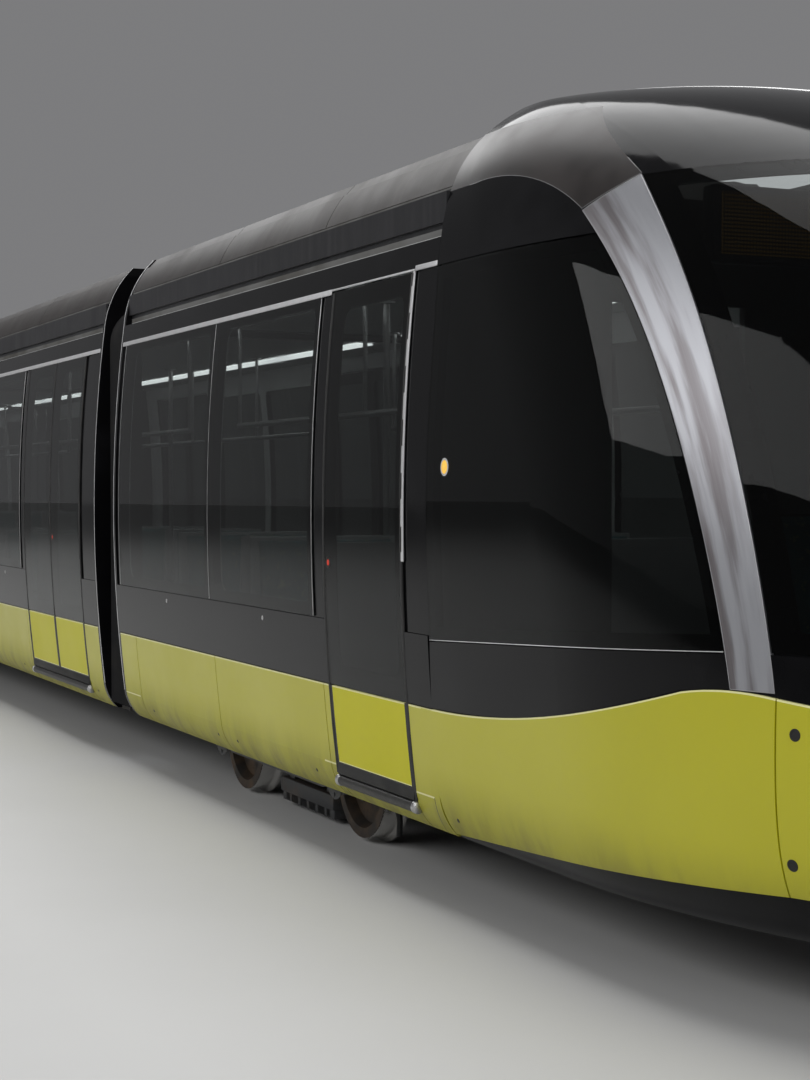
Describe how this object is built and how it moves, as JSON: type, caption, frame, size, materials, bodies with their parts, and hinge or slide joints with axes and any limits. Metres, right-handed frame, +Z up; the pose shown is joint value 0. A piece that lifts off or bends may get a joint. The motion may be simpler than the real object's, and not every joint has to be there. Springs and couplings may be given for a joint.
{
  "type": "articulated low-floor tram",
  "caption": "Double-ended articulated low-floor tram: car bodies hinged at gangways, free-turning wheelsets in pivoting bogies, folding pantograph.",
  "frame": {"origin": "under the middle of the centre car, level with the wheel flanges", "axes": "+X along the tram towards the front cab, +Y to its left side, +Z up"},
  "size_m": [32.7234, 2.4014, 3.2998],
  "materials": {
    "black_body": "gloss",
    "roof_grey": "satin",
    "underframe": "matt",
    "lime_paint": "satin",
    "tinted_glass": "gloss",
    "dark_glass": "gloss",
    "door_frame": "satin",
    "seat_fabric": "woven",
    "cab_plastic": "grained",
    "silver_trim": "brushed",
    "bronze_paint": "metallic",
    "bellows_rubber": "matt",
    "lamp_glass": "gloss",
    "bogie_steel": "matt",
    "wheel_steel": "worn",
    "pantograph_steel": "satin"
  },
  "bodies": {
    "centre_car": {"centre_walls": "black_body", "centre_roof": "roof_grey", "centre_floor": "underframe", "centre_skirts": "lime_paint", "centre_windows": "tinted_glass", "centre_seats": "seat_fabric"},
    "front_middle_car": {"front_middle_walls": "black_body", "front_middle_roof": "roof_grey", "front_middle_floor": "underframe", "front_middle_skirts": "lime_paint", "front_middle_windows": "tinted_glass", "front_middle_doors": "door_frame", "front_middle_seats": "seat_fabric", "front_middle_bellows": "bellows_rubber"},
    "front_car": {"front_walls": "black_body", "front_roof": "roof_grey", "front_floor": "underframe", "front_skirts": "lime_paint", "front_windows": "tinted_glass", "front_doors": "door_frame", "front_seats": "seat_fabric", "front_cab_interior": "cab_plastic", "front_nose_frame": "black_body", "front_arches": "silver_trim", "front_hoods": "bronze_paint", "front_windscreen": "dark_glass", "front_lamps": "lamp_glass"},
    "rear_middle_car": {"rear_middle_walls": "black_body", "rear_middle_roof": "roof_grey", "rear_middle_floor": "underframe", "rear_middle_skirts": "lime_paint", "rear_middle_windows": "tinted_glass", "rear_middle_doors": "door_frame", "rear_middle_seats": "seat_fabric", "rear_middle_bellows": "bellows_rubber"},
    "rear_car": {"rear_walls": "black_body", "rear_roof": "roof_grey", "rear_floor": "underframe", "rear_skirts": "lime_paint", "rear_windows": "tinted_glass", "rear_doors": "door_frame", "rear_seats": "seat_fabric", "rear_cab_interior": "cab_plastic", "rear_nose_frame": "black_body", "rear_arches": "silver_trim", "rear_hoods": "bronze_paint", "rear_windscreen": "dark_glass", "rear_lamps": "lamp_glass"},
    "front_bogie": {"front_bogie_frame": "bogie_steel"},
    "front_leading_wheelset": {"front_leading_wheelset": "wheel_steel"},
    "front_trailing_wheelset": {"front_trailing_wheelset": "wheel_steel"},
    "centre_bogie": {"centre_bogie_frame": "bogie_steel"},
    "centre_leading_wheelset": {"centre_leading_wheelset": "wheel_steel"},
    "centre_trailing_wheelset": {"centre_trailing_wheelset": "wheel_steel"},
    "rear_bogie": {"rear_bogie_frame": "bogie_steel"},
    "rear_leading_wheelset": {"rear_leading_wheelset": "wheel_steel"},
    "rear_trailing_wheelset": {"rear_trailing_wheelset": "wheel_steel"},
    "pantograph_lower_arm": {"pantograph_lower_arm": "pantograph_steel"},
    "pantograph_upper_arm": {"pantograph_upper_arm": "pantograph_steel"},
    "pantograph_head": {"pantograph_head": "pantograph_steel"}
  },
  "joints": [
    {"name": "front_inner_gangway_hinge", "type": "hinge", "parent": "centre_car", "child": "front_middle_car", "pos_m": [1.9, 0, 0.34], "axis": [0, 0, 1], "range_deg": [-15, 15], "deforming": ["front_middle_bellows"]},
    {"name": "front_outer_gangway_hinge", "type": "hinge", "parent": "front_middle_car", "child": "front_car", "pos_m": [8.88, 0, 0.34], "axis": [0, 0, 1], "range_deg": [-15, 15], "deforming": ["front_middle_bellows"]},
    {"name": "rear_inner_gangway_hinge", "type": "hinge", "parent": "centre_car", "child": "rear_middle_car", "pos_m": [-1.9, 0, 0.34], "axis": [0, 0, 1], "range_deg": [-15, 15], "deforming": ["rear_middle_bellows"]},
    {"name": "rear_outer_gangway_hinge", "type": "hinge", "parent": "rear_middle_car", "child": "rear_car", "pos_m": [-8.88, 0, 0.34], "axis": [0, 0, 1], "range_deg": [-15, 15], "deforming": ["rear_middle_bellows"]},
    {"name": "front_bogie_pivot", "type": "hinge", "parent": "front_car", "child": "front_bogie", "pos_m": [11.09, 0, 0.41], "axis": [0, 0, 1], "range_deg": [-4, 4]},
    {"name": "front_leading_wheelset_spin", "type": "hinge", "parent": "front_bogie", "child": "front_leading_wheelset", "pos_m": [11.89, 0, 0.315], "axis": [0, 1, 0], "continuous": true},
    {"name": "front_trailing_wheelset_spin", "type": "hinge", "parent": "front_bogie", "child": "front_trailing_wheelset", "pos_m": [10.29, 0, 0.315], "axis": [0, 1, 0], "continuous": true},
    {"name": "centre_bogie_pivot", "type": "hinge", "parent": "centre_car", "child": "centre_bogie", "pos_m": [0, 0, 0.41], "axis": [0, 0, 1], "range_deg": [-4, 4]},
    {"name": "centre_leading_wheelset_spin", "type": "hinge", "parent": "centre_bogie", "child": "centre_leading_wheelset", "pos_m": [0.8, 0, 0.315], "axis": [0, 1, 0], "continuous": true},
    {"name": "centre_trailing_wheelset_spin", "type": "hinge", "parent": "centre_bogie", "child": "centre_trailing_wheelset", "pos_m": [-0.8, 0, 0.315], "axis": [0, 1, 0], "continuous": true},
    {"name": "rear_bogie_pivot", "type": "hinge", "parent": "rear_car", "child": "rear_bogie", "pos_m": [-11.09, 0, 0.41], "axis": [0, 0, 1], "range_deg": [-4, 4]},
    {"name": "rear_leading_wheelset_spin", "type": "hinge", "parent": "rear_bogie", "child": "rear_leading_wheelset", "pos_m": [-10.29, 0, 0.315], "axis": [0, 1, 0], "continuous": true},
    {"name": "rear_trailing_wheelset_spin", "type": "hinge", "parent": "rear_bogie", "child": "rear_trailing_wheelset", "pos_m": [-11.89, 0, 0.315], "axis": [0, 1, 0], "continuous": true},
    {"name": "pantograph_raise", "type": "hinge", "parent": "centre_car", "child": "pantograph_lower_arm", "pos_m": [-0.75, 0, 3.05], "axis": [0, -1, 0], "range_deg": [0, 50]},
    {"name": "pantograph_knee", "type": "hinge", "parent": "pantograph_lower_arm", "child": "pantograph_upper_arm", "pos_m": [0.65, 0, 3.11], "axis": [0, 1, 0], "range_deg": [0, 105]},
    {"name": "pantograph_head_tilt", "type": "hinge", "parent": "pantograph_upper_arm", "child": "pantograph_head", "pos_m": [-0.56, 0, 3.2], "axis": [0, -1, 0], "range_deg": [0, 55]}
  ],
  "couplings": [
    {"joint": "pantograph_knee", "follows": "pantograph_raise", "ratio": 2.1},
    {"joint": "pantograph_head_tilt", "follows": "pantograph_raise", "ratio": 1.1}
  ]
}
